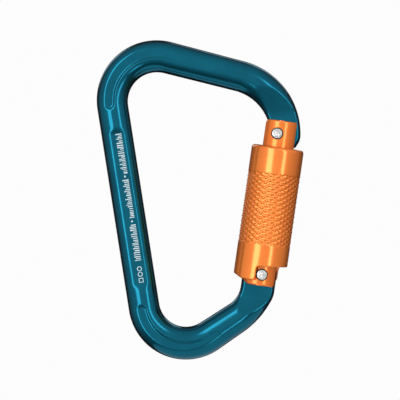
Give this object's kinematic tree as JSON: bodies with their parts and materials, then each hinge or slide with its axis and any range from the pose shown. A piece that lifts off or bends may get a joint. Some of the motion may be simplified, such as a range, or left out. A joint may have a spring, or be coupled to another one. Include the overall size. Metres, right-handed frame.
{
  "type": "twist-lock carabiner",
  "caption": "Offset-D aluminium connector with a hinged gate and a spring-returned twist-lock sleeve.",
  "frame": {"origin": "centre of the closed carabiner's bounding box, on the middle plane of its thickness", "axes": "+Z along the straight spine towards the nose end, +X from the spine towards the gate, +Y through the thickness towards the back face"},
  "size_m": [0.0716, 0.019, 0.1163],
  "materials": {
    "anodised_teal": "glossy anodised forging",
    "anodised_orange": "satin anodised",
    "anodised_orange_knurled": "satin anodised, diamond knurl",
    "stainless": "peened stainless steel",
    "spring_steel": "drawn spring wire",
    "acetal": "moulded acetal"
  },
  "bodies": {
    "frame": {"body": "anodised_teal"},
    "gate": {"gate": "anodised_orange", "hinge_rivet": "stainless", "latch_rivet": "stainless", "guide_stud": "stainless", "centring_ring": "acetal", "gate_spring": "spring_steel", "sleeve_spring": "spring_steel"},
    "sleeve": {"locking_sleeve": "anodised_orange_knurled"},
    "plunger": {"gate_plunger": "stainless"}
  },
  "joints": [
    {"name": "gate_hinge", "type": "hinge", "parent": "frame", "child": "gate", "pos_m": [0.01373, 0, -0.03164], "axis": [0, -1, 0], "range_deg": [0, 26], "stiffness_Nm_per_rad": 0.6, "springref_deg": -42.97},
    {"name": "sleeve_twist", "type": "hinge", "parent": "gate", "child": "sleeve", "pos_m": [0.0131, 0, -0.03145], "axis": [-0.294, 0, -0.9558], "range_deg": [0, 112], "stiffness_Nm_per_rad": 0.01, "springref_deg": -28.65, "deforming": ["sleeve_spring"]},
    {"name": "plunger_slide", "type": "slide", "parent": "gate", "child": "plunger", "axis": [0.294, 0, 0.9558], "range_m": [0, 0.001], "deforming": ["gate_spring"]}
  ],
  "couplings": [
    {"joint": "plunger_slide", "follows": "gate_hinge", "m_per_rad": 0.0021816}
  ]
}
